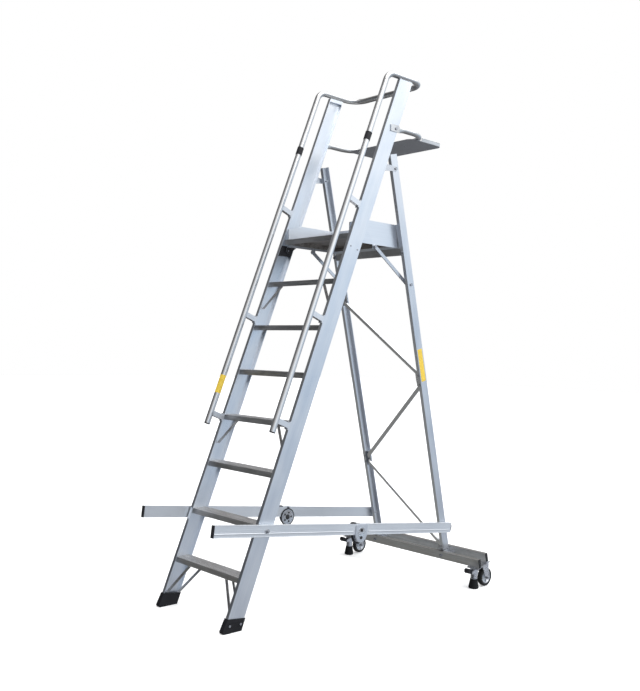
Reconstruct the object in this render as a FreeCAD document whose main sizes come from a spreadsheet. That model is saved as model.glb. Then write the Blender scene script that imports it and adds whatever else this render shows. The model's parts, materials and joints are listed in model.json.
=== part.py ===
"""Rolling warehouse ladder: a folding platform ladder on a wheeled rear frame.

X runs across the ladder (right is +X for a person climbing it), Y from front to rear and Z up.
The floor is Z = 0. Each body is placed from the ladder's own datum, the point on the floor where the
stiles' front face would meet it, and the cell origin_back shifts that datum so that the origin lies
under the middle of the whole ladder.
"""
import FreeCAD, Part
import math
import os
import re
import Sketcher
from FreeCAD import Placement, Rotation, Vector

DIMENSIONS = {
    # whole ladder
    "origin_back": 854.2,
    "climb_angle": 68.75,
    "prop_angle": 75.58,
    "prop_foot": 1698.3,
    "bolt_radius": 5,
    "head_radius": 9,
    "head_height": 5,
    "fit_gap": 0.05,
    # stiles and their shoes
    "stile_half": 288.7,
    "stile_depth": 95.5,
    "stile_flange": 20,
    "stile_wall": 3,
    "stile_foot": 6,
    "stile_top": 2882,
    "cap_thick": 4,
    "plug_deep": 16,
    "shoe_wall": 4,
    "shoe_front": 70,
    "shoe_rear": 58,
    "shoe_toe": 12,
    # treads
    "tread_rise": 250,
    "tread_depth": 83,
    "tread_lip": 28,
    "tread_back_lip": 12,
    "tread_wall": 3,
    "tread_setback": 10.6,
    "groove_pitch": 9,
    "groove_width": 3,
    "groove_deep": 1,
    "strut_width": 20,
    "strut_thick": 4,
    "strut_deep": 24,
    "strut_inner": 165,
    "strut_outer": 265.7,
    "strut_drop": 126,
    "low_strut_deep": 19,
    "low_strut_inner": 150,
    "low_strut_outer": 265.7,
    "low_strut_drop": 151,
    "back_strut_deep": 78,
    "back_strut_inner": 94,
    "back_strut_outer": 252,
    "back_strut_drop": 184,
    # rails
    "rail_half": 276,
    "rail_radius": 16,
    "rail_wall": 2,
    "rail_offset": 85.8,
    "rail_low": 993.5,
    "rail_joint": 2679,
    "sleeve_length": 46,
    "sleeve_wall": 2.5,
    "bracket_width": 24,
    "bracket_length": 28,
    "bracket_low": 984,
    "bracket_middle": 1530,
    "bracket_high": 2156,
    "guard_height": 2903,
    "guard_rear": 1340,
    "guard_bend": 65,
    "guard_corner": 90,
    "knee_half": 293,
    "knee_radius": 15,
    "knee_height": 2607,
    "knee_front": 1160,
    "knee_rear": 1380,
    "knee_corner": 145,
    "plate_reach": 1124,
    "plate_length": 68,
    "plate_height": 38,
    "plate_half_thick": 2.5,
    "plate_round": 4,
    "plate_bolt_back": 1098,
    # tray
    "tray_half": 257,
    "tray_front": 1268,
    "tray_rear": 1546,
    "tray_floor": 2589.9,
    "tray_lip": 19,
    "tray_lip_front": 1358,
    "tray_wall": 2,
    "tray_corner": 40,
    # platform
    "deck_height": 2000,
    "deck_front": 786,
    "deck_rear": 1183.5,
    "deck_half": 246.6,
    "deck_nose": 12,
    "nose_half": 265,
    "deck_thick": 28,
    "sheet_thick": 3,
    "board_half": 250,
    "board_low": 1960,
    "board_high": 2088,
    "board_front": 800,
    "rear_board_half": 262,
    "rear_board_deep": 1,
    "ledge_deep": 26,
    "pivot_back": 804,
    "pivot_high": 1938,
    "stay_back": 998,
    "stay_high": 1950,
    "stay_prop_back": 1275,
    "stay_prop_high": 1760,
    "stay_thick": 5,
    "stay_width": 20,
    "stay_inner": 252,
    # rear frame
    "leg_half": 284.8,
    "leg_depth": 52.4,
    "leg_flange": 21,
    "leg_wall": 3,
    "leg_low": 125,
    "leg_high": 2540,
    "fold_pin_along": 2461,
    "pivot_drop": 26,
    "pivot_rise": 14,
    "pivot_reach": 12,
    "cheek_inner": 285.2,
    "cheek_outer": 288.4,
    "beam_along": 2001,
    "beam_height": 40,
    "beam_depth": 24,
    "brace_width": 20,
    "brace_thick": 12,
    "base_half": 556,
    "base_height": 50,
    "base_thick": 18,
    "base_wall": 2.5,
    "base_along": 157.5,
    "base_rear_lift": 12.5,
    "saddle_reach": 50,
    "gusset_inner": 236,
    "plate_thick": 3,
    "plate_front": -36,
    "plate_rear": 92,
    "plate_inner": 478,
    # castors
    "wheel_across": 522,
    "wheel_back": 1749.7,
    "wheel_high": 54.8,
    "wheel_radius": 54,
    "wheel_width": 30,
    "hub_radius": 39,
    "hub_bore": 5.05,
    # floor locks
    "lock_across": 519,
    "lock_back": 1649.7,
    "foot_radius": 30,
    "foot_neck": 22,
    "foot_height": 57,
    "stem_radius": 20,
    "stem_top": 96,
    "housing_radius": 24,
    "housing_low": 84,
    "housing_high": 114,
    "pedal_back": 1615,
    "pedal_high": 99,
    "pedal_width": 30,
    "pedal_length": 42,
    # side bars
    "bar_inner": 296,
    "bar_outer": 315,
    "bar_height": 60,
    "bar_wall": 2.5,
    "bar_slope": 6.1,
    "bar_pin_back": 234,
    "bar_pin_high": 474,
    "bar_prop_back": 1645.7,
    "bar_prop_high": 326,
    "knuckle_back": 893.7,
    "knuckle_high": 373,
    "knuckle_radius": 50,
    "knuckle_gap": 9,
    "knuckle_play": 0.3,
    "bar_front_reach": 322,
    "bar_rear_reach": 32,
}

SIDES = {"left": -1, "right": 1}
TREADS = 7
DOC = FreeCAD.newDocument("RollingLadder")
SHEET = DOC.addObject("Spreadsheet::Sheet", "Dims")
NODES = {}


# ---------------------------------------------------------------- spreadsheet and helpers

def fill_sheet():
    """One row per driving dimension: its name beside its value, which carries the name as alias."""
    for row, (alias, value) in enumerate(DIMENSIONS.items(), start=1):
        SHEET.set("A%d" % row, alias)
        SHEET.set("B%d" % row, str(value))
        SHEET.setAlias("B%d" % row, alias)
    DOC.recompute()


def bound(text):
    """Turn the plain names in an expression into references to the sheet."""
    def refer(match):
        word = match.group()
        return "Dims." + word if word in DIMENSIONS else word
    return re.sub(r"[a-z][a-z_0-9]*", refer, str(text))


def sized(text):
    """The value of an expression, in millimetres or degrees."""
    value = SHEET.evalExpression(bound(text))
    return float(getattr(value, "Value", value))


def climb_back(height, deep="0"):
    """How far back a point is that lies so deep behind the stiles' front face, at this height."""
    return "((%s) / tan(climb_angle) + (%s) / sin(climb_angle))" % (height, deep)


def in_leg_frame(back, high):
    """A point in the legs' own frame: depth behind their front face, and distance along them."""
    deep = "((%s - prop_foot) * sin(prop_angle) + %s * cos(prop_angle))" % (back, high)
    along = "(%s * sin(prop_angle) - (%s - prop_foot) * cos(prop_angle))" % (high, back)
    return deep, along


def fold_pivot():
    """Where the pins that the rear legs swing on stand, seen from the side."""
    back = "(prop_foot + leg_depth / 2 * sin(prop_angle) - fold_pin_along * cos(prop_angle))"
    high = "(leg_depth / 2 * cos(prop_angle) + fold_pin_along * sin(prop_angle))"
    return back, high


def span(side, near, far):
    """Start and width in X of a piece between two distances from the middle, on one side."""
    start = "(%s)" % near if side > 0 else "-(%s)" % far
    return start, "((%s) - (%s))" % (far, near)


def keep(name, item):
    """File an object as a sub-part of the ladder, under its own label."""
    item.Label = name
    NODES[name] = item
    return item


def new_body(name, x="0", y="0", z="0", tilt=None, filed=True):
    """A body placed from the ladder's datum, and tipped about X if a tilt is given."""
    body = DOC.addObject("PartDesign::Body", name)
    if tilt is not None:
        body.Placement = Placement(Vector(), Rotation(Vector(1, 0, 0), sized(tilt)))
        body.setExpression("Placement.Rotation.Angle", bound(tilt))
    body.setExpression("Placement.Base.x", bound(x))
    body.setExpression("Placement.Base.y", bound("(%s) - origin_back" % y))
    body.setExpression("Placement.Base.z", bound(z))
    if filed:
        keep(name, body)
    return body


def stile_body(name, filed=True):
    """A body whose Z runs up the stiles, and whose Y is the depth behind their front face."""
    return new_body(name, tilt="climb_angle - 90", filed=filed)


def leg_body(name, filed=True):
    """A body whose Z runs up the legs, and whose Y is the depth behind their front face."""
    return new_body(name, y="prop_foot", tilt="90 - prop_angle", filed=filed)


def start_sketch(body, plane, start):
    sketch = body.newObject("Sketcher::SketchObject", "Sketch")
    role = plane + "_Plane"
    origin_plane = [item for item in body.Origin.OriginFeatures if item.Role == role][0]
    sketch.AttachmentSupport = (origin_plane, [""])
    sketch.MapMode = "FlatFace"
    # the XZ plane faces -Y, so its offset is measured backwards
    offset = "-(%s)" % start if plane == "XZ" else start
    sketch.setExpression("AttachmentOffset.Base.z", bound(offset))
    return sketch


def pin_point(sketch, index, where, point):
    """Hold a sketch point at its two distances from the sketch's origin."""
    for kind, size in zip(("DistanceX", "DistanceY"), point):
        constraint = Sketcher.Constraint(kind, -1, 1, index, where, sized(size))
        number = sketch.addConstraint(constraint)
        sketch.setExpression("Constraints[%d]" % number, bound(size))


def draw_outline(sketch, corners):
    """A closed outline of straight edges."""
    points = [Vector(sized(u), sized(v), 0) for u, v in corners]
    first = sketch.GeometryCount
    count = len(points)
    for index in range(count):
        sketch.addGeometry(Part.LineSegment(points[index], points[(index + 1) % count]))
    for index in range(count):
        joined = first + (index + 1) % count
        sketch.addConstraint(Sketcher.Constraint("Coincident", first + index, 2, joined, 1))
    for index, corner in enumerate(corners):
        pin_point(sketch, first + index, 1, corner)


def draw_circle(sketch, centre, radius):
    middle = Vector(sized(centre[0]), sized(centre[1]), 0)
    index = sketch.addGeometry(Part.Circle(middle, Vector(0, 0, 1), sized(radius)))
    pin_point(sketch, index, 3, centre)
    number = sketch.addConstraint(Sketcher.Constraint("Radius", index, sized(radius)))
    sketch.setExpression("Constraints[%d]" % number, bound(radius))


def draw(sketch, shape):
    """Draw a list of corners as an outline, or a (centre, radius) pair as a circle."""
    if isinstance(shape, tuple):
        draw_circle(sketch, *shape)
    else:
        draw_outline(sketch, shape)


def pad(body, plane, shape, start, thick):
    sketch = start_sketch(body, plane, start)
    draw(sketch, shape)
    feature = body.newObject("PartDesign::Pad", "Pad")
    feature.Profile = sketch
    feature.Reversed = plane == "XZ"
    feature.setExpression("Length", bound(thick))
    return feature


def cut(body, plane, shape, start, thick):
    sketch = start_sketch(body, plane, start)
    draw(sketch, shape)
    feature = body.newObject("PartDesign::Pocket", "Pocket")
    feature.Profile = sketch
    feature.Reversed = plane != "XZ"
    feature.setExpression("Length", bound(thick))
    return feature


def box(low_u, low_v, high_u, high_v):
    return [(low_u, low_v), (high_u, low_v), (high_u, high_v), (low_u, high_v)]


def repeat(body, feature, axis_role, length, count):
    """Repeat a feature along one of the body's own axes."""
    pattern = body.newObject("PartDesign::LinearPattern", "Pattern")
    axis = [item for item in body.Origin.OriginFeatures if item.Role == axis_role][0]
    pattern.Originals = [feature]
    pattern.Direction = (axis, [""])
    pattern.setExpression("Length", bound(length))
    pattern.Occurrences = count
    body.Tip = pattern
    return pattern


def round_corners(body, plane, corners, radius):
    """Round the edges that run through the given corners of the body's outline."""
    DOC.recompute()
    axis = {"YZ": 0, "XZ": 1, "XY": 2}[plane]
    spots = [(sized(u), sized(v)) for u, v in corners]
    names = []
    sharp = body.Tip
    for number, edge in enumerate(sharp.Shape.Edges, start=1):
        ends = [list(vertex.Point) for vertex in edge.Vertexes]
        if len(ends) != 2:
            continue
        for end in ends:
            end.pop(axis)
        near = [spot for spot in spots if all(math.dist(spot, end) < 0.01 for end in ends)]
        if near:
            names.append("Edge%d" % number)
    fillet = body.newObject("PartDesign::Fillet", "Fillet")
    fillet.Base = (sharp, names)
    fillet.setExpression("Radius", bound(radius))
    return fillet


def group(name, members):
    """Several separate solids that share one node."""
    compound = DOC.addObject("Part::Compound", name)
    compound.Links = members
    return keep(name, compound)


def rod(name, side, near, far, back, high, radius):
    """A round bar across the ladder, as a cylinder lying along X."""
    start, length = span(side, near, far)
    bar = DOC.addObject("Part::Cylinder", name)
    bar.Placement = Placement(Vector(), Rotation(Vector(0, 1, 0), 90))
    bar.setExpression("Placement.Base.x", bound(start))
    bar.setExpression("Placement.Base.y", bound("(%s) - origin_back" % back))
    bar.setExpression("Placement.Base.z", bound(high))
    bar.setExpression("Height", bound(length))
    bar.setExpression("Radius", bound(radius))
    return bar


def bolt(side, near, far, back, high, radius="bolt_radius"):
    """A pin along X with a round head beyond its far end."""
    shank = rod("Shank", side, near, far, back, high, radius)
    head = rod("Head", side, far, "(%s) + head_height" % far, back, high, "head_radius")
    joined = DOC.addObject("Part::Fuse", "Bolt")
    joined.Base = shank
    joined.Tool = head
    return joined


# ---------------------------------------------------------------- ladder section

def stile(side_name, side):
    body = new_body("stile_" + side_name)
    web = "(stile_half - stile_wall)"
    inner = "(stile_half - stile_flange)"

    def section(front, rear, low, high):
        return [(climb_back(low, front), low), (climb_back(low, rear), low),
                (climb_back(high, rear), high), (climb_back(high, front), high)]

    start, thick = span(side, inner, "stile_half")
    pad(body, "YZ", section("0", "stile_depth", "stile_foot", "stile_top"), start, thick)
    start, thick = span(side, inner, web)
    hollow = section("stile_wall", "stile_depth - stile_wall", "stile_foot - 20", "stile_top + 20")
    cut(body, "YZ", hollow, start, thick)
    start, thick = span(side, web, "stile_half")
    cut(body, "YZ", (("bar_pin_back", "bar_pin_high"), "bolt_radius + fit_gap"), start, thick)


def stile_shoes():
    """Rubber boots with round toes, which the stiles stand in."""
    inner = "(stile_half - stile_flange)"
    front_top = (climb_back("shoe_front", "-shoe_wall"), "shoe_front")
    rear_top = (climb_back("shoe_rear", "stile_depth + shoe_wall"), "shoe_rear")
    outline = [("-shoe_toe", "0"), (climb_back("0", "stile_depth + shoe_wall"), "0"), rear_top, front_top]
    socket = [(climb_back("stile_foot", "0"), "stile_foot"),
              (climb_back("stile_foot", "stile_depth"), "stile_foot"),
              (climb_back("2 * shoe_front", "stile_depth"), "2 * shoe_front"),
              (climb_back("2 * shoe_front", "0"), "2 * shoe_front")]
    members = []
    for side in SIDES.values():
        body = new_body("Shoe", filed=False)
        start, thick = span(side, inner + " - shoe_wall", "stile_half + shoe_wall")
        pad(body, "YZ", outline, start, thick)
        start, thick = span(side, inner, "stile_half")
        cut(body, "YZ", socket, start, thick)
        round_corners(body, "YZ", [outline[0]], "10")
        round_corners(body, "YZ", [outline[1]], "4")
        members.append(body)
    group("stile_shoes", members)


def tread(number):
    """A grooved channel tread that spans the stiles' webs."""
    high = "tread_rise * %d" % number
    body = new_body("tread_%d" % number, y=climb_back(high) + " + tread_setback", z=high)
    half = "(stile_half - stile_wall)"
    outline = [("0", "0"), ("0", "-tread_lip"), ("tread_wall", "-tread_lip"),
               ("tread_wall", "-tread_wall"), ("tread_depth - tread_wall", "-tread_wall"),
               ("tread_depth - tread_wall", "-tread_back_lip"), ("tread_depth", "-tread_back_lip"),
               ("tread_depth", "0")]
    pad(body, "YZ", outline, "-" + half, "2 * " + half)
    groove = box("groove_pitch / 2", "-groove_deep", "groove_pitch / 2 + groove_width", "1")
    first = cut(body, "YZ", groove, "-" + half, "2 * " + half)
    repeat(body, first, "Y_Axis", "8 * groove_pitch", 9)


def tread_strut(number, kind, below="tread_lip"):
    """One pair of flat bars from under a tread out to the stiles, parallel to the climb."""
    pair = []
    deep, near, far, drop = (kind + part for part in ("_deep", "_inner", "_outer", "_drop"))
    high = "(tread_rise * %d - (%s) + %s * cos(climb_angle))" % (number, below, deep)
    top = "(%s / sin(climb_angle))" % high
    foot = "(%s - %s / sin(climb_angle))" % (top, drop)
    for side in SIDES.values():
        body = stile_body("Strut", filed=False)
        inner = "%d * %s" % (side, near)
        outer = "%d * %s" % (side, far)
        shift = "%d * strut_width" % side
        outline = [(inner, top), ("%s + %s" % (inner, shift), top),
                   ("%s + %s" % (outer, shift), foot), (outer, foot)]
        if side < 0:
            outline.reverse()
        pad(body, "XZ", outline, deep, "strut_thick")
        pair.append(body)
    return pair


def tread_stays():
    """Front struts under three treads, and rear struts under the lowest as well."""
    members = tread_strut(1, "low_strut") + tread_strut(1, "back_strut", "tread_wall + fit_gap")
    members += tread_strut(4, "strut") + tread_strut(7, "strut")
    group("tread_stays", members)


def stile_caps():
    """Folded plates that close the stiles' tops, each with a plug down into the channel."""
    members = []
    for side in SIDES.values():
        inner = "(stile_half - stile_flange)"
        web = "(stile_half - stile_wall)"
        body = new_body("Cap", filed=False)
        high = "stile_top + cap_thick"
        plate = [(climb_back("stile_top", "0"), "stile_top"),
                 (climb_back("stile_top", "stile_depth"), "stile_top"),
                 (climb_back(high, "stile_depth"), high), (climb_back(high, "0"), high)]
        start, thick = span(side, inner, "stile_half")
        pad(body, "YZ", plate, start, thick)
        low = "stile_top - plug_deep"
        rear = "stile_depth - stile_wall"
        plug = [(climb_back(low, "stile_wall"), low), (climb_back(low, rear), low),
                (climb_back("stile_top", rear), "stile_top"),
                (climb_back("stile_top", "stile_wall"), "stile_top")]
        start, thick = span(side, inner, web)
        pad(body, "YZ", plug, start, thick)
        members.append(body)
    group("stile_caps", members)


def platform_bearing_blocks():
    """Blocks in the stiles' channels that carry the platform's pivot pins."""
    members = []
    for side in SIDES.values():
        body = new_body("Block", filed=False)
        low = "pivot_high - 30"
        high = "pivot_high + 29"
        rear = "stile_depth - stile_wall"
        outline = [(climb_back(low, "stile_wall"), low), (climb_back(low, rear), low),
                   (climb_back(high, rear), high), (climb_back(high, "stile_wall"), high)]
        start, thick = span(side, "stile_half - stile_flange", "stile_half - stile_wall")
        pad(body, "YZ", outline, start, thick)
        cut(body, "YZ", (("pivot_back", "pivot_high"), "bolt_radius + fit_gap"), start, thick)
        members.append(body)
    group("platform_bearing_blocks", members)


# ---------------------------------------------------------------- rails and tray

def handrail(side_name, side):
    body = stile_body("handrail_" + side_name)
    centre = ("%d * rail_half" % side, "-rail_offset")
    length = "rail_joint - rail_low"
    pad(body, "XY", (centre, "rail_radius"), "rail_low", length)
    cut(body, "XY", (centre, "rail_radius - rail_wall"), "rail_low", length)


def handrail_plugs():
    """Caps pushed into the handrails' lower ends."""
    members = []
    for side in SIDES.values():
        body = stile_body("Plug", filed=False)
        centre = ("%d * rail_half" % side, "-rail_offset")
        pad(body, "XY", (centre, "rail_radius"), "rail_low - 3", "3")
        pad(body, "XY", (centre, "rail_radius - rail_wall - 0.1"), "rail_low", "15")
        members.append(body)
    group("handrail_plugs", members)


def rail_sleeves():
    """Sleeves over the joints between the handrails and the guard rail."""
    members = []
    for side in SIDES.values():
        body = stile_body("Sleeve", filed=False)
        centre = ("%d * rail_half" % side, "-rail_offset")
        low = "rail_joint - sleeve_length / 2"
        pad(body, "XY", (centre, "rail_radius + sleeve_wall"), low, "sleeve_length")
        cut(body, "XY", (centre, "rail_radius + fit_gap"), low, "sleeve_length")
        members.append(body)
    group("rail_sleeves", members)


def handrail_brackets():
    """Cast arms from the stiles' front flanges to the handrails, cradling the tube."""
    members = []
    for side in SIDES.values():
        for high in ("bracket_low", "bracket_middle", "bracket_high"):
            along = "%s / sin(climb_angle)" % high
            body = stile_body("Bracket", filed=False)
            start, thick = span(side, "rail_half - bracket_width / 2", "rail_half + bracket_width / 2")
            low = "%s - bracket_length / 2" % along
            top = "%s + bracket_length / 2" % along
            arm = [("-rail_offset", low), ("-8", low), ("-8", "%s - 7" % low), ("0", "%s - 7" % low),
                   ("0", "%s + 7" % top), ("-8", "%s + 7" % top), ("-8", top), ("-rail_offset", top)]
            pad(body, "YZ", arm, start, thick)
            centre = ("%d * rail_half" % side, "-rail_offset")
            cut(body, "XY", (centre, "rail_radius + fit_gap"), "%s - 5" % low, "bracket_length + 10")
            members.append(body)
    group("handrail_brackets", members)


def rounded_path(points, radii):
    """Straight runs through the points, joined by tangent arcs of the given radii."""
    edges = []
    start = points[0]
    for before, corner, after, radius in zip(points, points[1:], points[2:], radii):
        into = (corner - before).normalize()
        out = (after - corner).normalize()
        turn = into.getAngle(out)
        reach = radius * math.tan(turn / 2)
        first = corner - into * reach
        last = corner + out * reach
        inward = (out - into).normalize()
        middle = corner + inward * (radius / math.cos(turn / 2) - radius)
        edges.append(Part.makeLine(start, first))
        edges.append(Part.Arc(first, middle, last).toShape())
        start = last
    edges.append(Part.makeLine(start, points[-1]))
    return Part.Wire(edges)


def pipe(path, radius):
    """A solid round bar along a path."""
    start = path.Edges[0].Vertexes[0].Point
    heading = path.Edges[0].tangentAt(path.Edges[0].FirstParameter)
    profile = Part.Wire(Part.makeCircle(radius, start, heading))
    return path.makePipeShell([profile], True, False)


def check_bar(solid, path, radius):
    """A swept bar holds its section times its length."""
    expected = math.pi * radius ** 2 * path.Length
    if abs(solid.Volume - expected) > 0.01 * expected:
        raise RuntimeError("a swept rail has the wrong volume")


def tube(path, radius, wall):
    outer = pipe(path, radius)
    check_bar(outer, path, radius)
    return outer.cut(pipe(path, radius - wall))


def feature(name, shape):
    """A sub-part whose shape is worked out here from the sheet, then placed."""
    item = DOC.addObject("Part::Feature", name)
    item.Shape = shape
    item.Placement = Placement(Vector(0, -sized("origin_back"), 0), Rotation())
    return keep(name, item)


def guard_rail():
    """One bent tube: up from the handrails, back over the stiles and round behind the user."""
    across = sized("rail_half")
    high = sized("guard_height")
    rear = sized("guard_rear")
    offset = sized("rail_offset")
    climb = math.radians(sized("climb_angle"))
    along = sized("rail_joint")
    joint_back = along * math.cos(climb) - offset * math.sin(climb)
    joint_high = along * math.sin(climb) + offset * math.cos(climb)
    bend_back = joint_back + (high - joint_high) / math.tan(climb)
    right = [Vector(across, joint_back, joint_high), Vector(across, bend_back, high),
             Vector(across, rear, high)]
    left = [Vector(-point.x, point.y, point.z) for point in reversed(right)]
    bend = sized("guard_bend")
    corner = sized("guard_corner")
    path = rounded_path(right + left, [bend, corner, corner, bend])
    feature("guard_rail", tube(path, sized("rail_radius"), sized("rail_wall")))


def flattened_end(side):
    """The squashed end of the knee rail: a round-to-flat stretch and a plate on the stile."""
    radius = sized("knee_radius")
    half_flat = sized("plate_half_thick")
    plate_back = sized("plate_reach")
    length = sized("plate_length")
    tall = sized("plate_height")
    front = sized("knee_front")
    high = sized("knee_height")
    flat_x = side * (sized("stile_half") + half_flat + 0.1)
    circle = Part.Circle(Vector(side * sized("knee_half"), front, high), Vector(0, 1, 0), radius)
    middle = Vector(flat_x, plate_back, high)
    top = middle + Vector(0, 0, tall / 2 + 1)
    oval = Part.Ellipse(top, middle + Vector(half_flat, 0, 0), middle)
    loft = Part.makeLoft([Part.Wire(circle.toShape()), Part.Wire(oval.toShape())], True)
    corner = Vector(flat_x - half_flat, plate_back - length, high - tall / 2)
    plate = Part.makeBox(2 * half_flat, length, tall, corner)
    long_edges = [edge for edge in plate.Edges
                  if abs(edge.tangentAt(0).x) > 0.9 and edge.BoundBox.YMax < plate_back - length / 2]
    return loft.fuse(plate.makeFillet(sized("plate_round"), long_edges))


def knee_rail():
    """The lower rail, bolted to the stiles' webs and bent round behind the user."""
    across = sized("knee_half")
    high = sized("knee_height")
    front = sized("knee_front")
    rear = sized("knee_rear")
    points = [Vector(across, front, high), Vector(across, rear, high),
              Vector(-across, rear, high), Vector(-across, front, high)]
    corner = sized("knee_corner")
    path = rounded_path(points, [corner, corner])
    rail = tube(path, sized("knee_radius"), sized("rail_wall"))
    for side in SIDES.values():
        rail = rail.fuse(flattened_end(side))
    feature("knee_rail", rail.removeSplitter())


def tray_block(name, inset, low):
    """A block with rounded upright corners, set in from the tray's outline."""
    body = new_body(name, filed=False)
    outline = box("-tray_half + %s" % inset, "tray_front + %s" % inset,
                  "tray_half - %s" % inset, "tray_rear - %s" % inset)
    pad(body, "XY", outline, low, "tray_lip")
    round_corners(body, "XY", outline, "tray_corner - %s" % inset)
    return body


def tray():
    """A shallow tray for tools under the knee rail, with a lip round its rear part."""
    outer = tray_block("Outer", "0", "tray_floor")
    front = box("-tray_half - 1", "tray_front - 1", "tray_half + 1", "tray_lip_front")
    cut(outer, "XY", front, "tray_floor + tray_wall", "tray_lip")
    hollow = DOC.addObject("Part::Cut", "tray")
    hollow.Base = outer
    hollow.Tool = tray_block("Inner", "tray_wall", "tray_floor + tray_wall")
    keep("tray", hollow)


def ladder_bolts():
    """Every pin, bolt and rivet that belongs to the ladder section."""
    members = []
    fold_back, fold_high = fold_pivot()
    for side in SIDES.values():
        members.append(bolt(side, "leg_half - leg_flange", "cheek_outer", fold_back, fold_high))
        members.append(bolt(side, "stile_half - 10", "bar_outer", "bar_pin_back", "bar_pin_high"))
        pin = rod("Pin", side, "board_half - 2", "stile_half - stile_wall",
                  "pivot_back", "pivot_high", "bolt_radius")
        members.append(pin)
        members.append(rod("Bolt", side, "stile_half + 5.2", "stile_half + 9",
                           "plate_bolt_back", "knee_height", "head_radius"))
        for back, high in ((35, 35), (101, 34)):
            members.append(rod("Rivet", side, "stile_half + shoe_wall", "stile_half + shoe_wall + 2",
                               str(back), str(high), "6"))
    group("ladder_bolts", members)


def leg_pivot_brackets():
    """Angle plates on the stiles' rear flanges that the rear legs swing from."""
    members = []
    fold_back, fold_high = fold_pivot()
    for side in SIDES.values():
        body = new_body("Bracket", filed=False)
        low = "(%s - pivot_drop)" % fold_high
        high = "(%s + pivot_rise)" % fold_high
        cheek = [(climb_back(low, "stile_depth"), low),
                 ("%s + pivot_reach - 4" % fold_back, "%s - 12" % fold_high),
                 ("%s + pivot_reach" % fold_back, fold_high),
                 ("%s + pivot_reach - 4" % fold_back, "%s + 9" % fold_high),
                 (climb_back(high, "stile_depth"), high)]
        start, thick = span(side, "cheek_inner", "cheek_outer")
        pad(body, "YZ", cheek, start, thick)
        base = [(climb_back(low, "stile_depth"), low), (climb_back(low, "stile_depth + 3"), low),
                (climb_back(high, "stile_depth + 3"), high), (climb_back(high, "stile_depth"), high)]
        start, thick = span(side, "stile_half - stile_flange", "cheek_outer")
        pad(body, "YZ", base, start, thick)
        start, thick = span(side, "cheek_inner", "cheek_outer")
        cut(body, "YZ", ((fold_back, fold_high), "bolt_radius + fit_gap"), start, thick)
        members.append(body)
    group("leg_pivot_brackets", members)


# ---------------------------------------------------------------- platform

def platform_deck():
    body = new_body("platform_deck")
    low = "deck_height - deck_thick"
    outline = [("-nose_half", "deck_front"), ("nose_half", "deck_front"),
               ("nose_half", "deck_front + deck_nose"), ("deck_half", "deck_front + deck_nose"),
               ("deck_half", "deck_rear"), ("-deck_half", "deck_rear"),
               ("-deck_half", "deck_front + deck_nose"), ("-nose_half", "deck_front + deck_nose")]
    pad(body, "XY", outline, low, "deck_thick")
    under = box("-deck_half + sheet_thick", "deck_front + sheet_thick",
                "deck_half - sheet_thick", "deck_rear - sheet_thick")
    cut(body, "XY", under, low, "deck_thick - sheet_thick")
    groove = box("deck_front + 16", "deck_height - groove_deep", "deck_front + 20", "deck_height + 1")
    first = cut(body, "YZ", groove, "-deck_half", "2 * deck_half")
    repeat(body, first, "Y_Axis", "deck_rear - deck_front - 32", 30)


def platform_toe_boards():
    """Upstands on three sides of the deck; the rear one has a ledge over the legs' cross beam."""
    members = []
    rear_low = "prop_foot - board_low / tan(prop_angle) - 6"
    rear_high = "prop_foot - board_high / tan(prop_angle) + 0.5"
    for side in SIDES.values():
        body = new_body("SideBoard", filed=False)
        outline = [("board_front", "board_low"), ("stay_back - 15", "board_low"),
                   ("stay_back - 15", "stay_high - 13"), ("stay_back + 15", "stay_high - 13"),
                   ("stay_back + 15", "board_low"), (rear_low, "board_low"),
                   (rear_high, "board_high"), ("board_front + 99", "board_high"),
                   ("board_front", "board_high - 28")]
        start, thick = span(side, "board_half - sheet_thick", "board_half")
        pad(body, "YZ", outline, start, thick)
        lug = [("pivot_back - 13", "pivot_high - 4"), ("pivot_back - 8", "pivot_high - 13"),
               ("pivot_back + 8", "pivot_high - 13"), ("pivot_back + 60", "board_low + 10"),
               ("pivot_back + 60", "board_low + 50"), ("pivot_back - 4", "board_low + 50"),
               ("pivot_back - 4", "pivot_high + 26"), ("pivot_back - 13", "pivot_high + 12")]
        start, thick = span(side, "board_half", "board_half + 4")
        pad(body, "YZ", lug, start, thick)
        hole = (("pivot_back", "pivot_high"), "bolt_radius + fit_gap")
        cut(body, "YZ", hole, start, thick)
        members.append(body)
    board = leg_body("RearBoard", filed=False)
    low = "(beam_along + beam_height / 2 + 1)"
    high = "(board_high / sin(prop_angle))"
    across = box("-rear_board_half", low, "rear_board_half", high)
    pad(board, "XZ", across, "rear_board_deep", "sheet_thick")
    ledge = box("-deck_half", low, "deck_half", low + " + sheet_thick")
    pad(board, "XZ", ledge, "rear_board_deep", "ledge_deep")
    members.append(board)
    group("platform_toe_boards", members)


def platform_stay(side_name, side):
    """A flat bar from the platform's side down to the rear leg."""
    body = new_body("platform_stay_" + side_name)
    reach = "sqrt((stay_prop_back - stay_back)^2 + (stay_high - stay_prop_high)^2)"
    over = "((stay_prop_back - stay_back) / %s)" % reach
    down = "((stay_high - stay_prop_high) / %s)" % reach

    def at(along, aside):
        back = "stay_back + (%s) * %s + (%s) * %s" % (along, over, aside, down)
        high = "stay_high - (%s) * %s + (%s) * %s" % (along, down, aside, over)
        return back, high

    half = "stay_width / 2"
    outline = [at("-10", "-" + half), at("%s + 10" % reach, "-" + half),
               at("%s + 10" % reach, half), at("-10", half)]
    start, thick = span(side, "stay_inner", "stay_inner + stay_thick")
    pad(body, "YZ", outline, start, thick)
    round_corners(body, "YZ", outline, "stay_width / 2 - 0.5")
    cut(body, "YZ", (("stay_back", "stay_high"), "bolt_radius + fit_gap"), start, thick)
    cut(body, "YZ", (("stay_prop_back", "stay_prop_high"), "bolt_radius + fit_gap"), start, thick)


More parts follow.
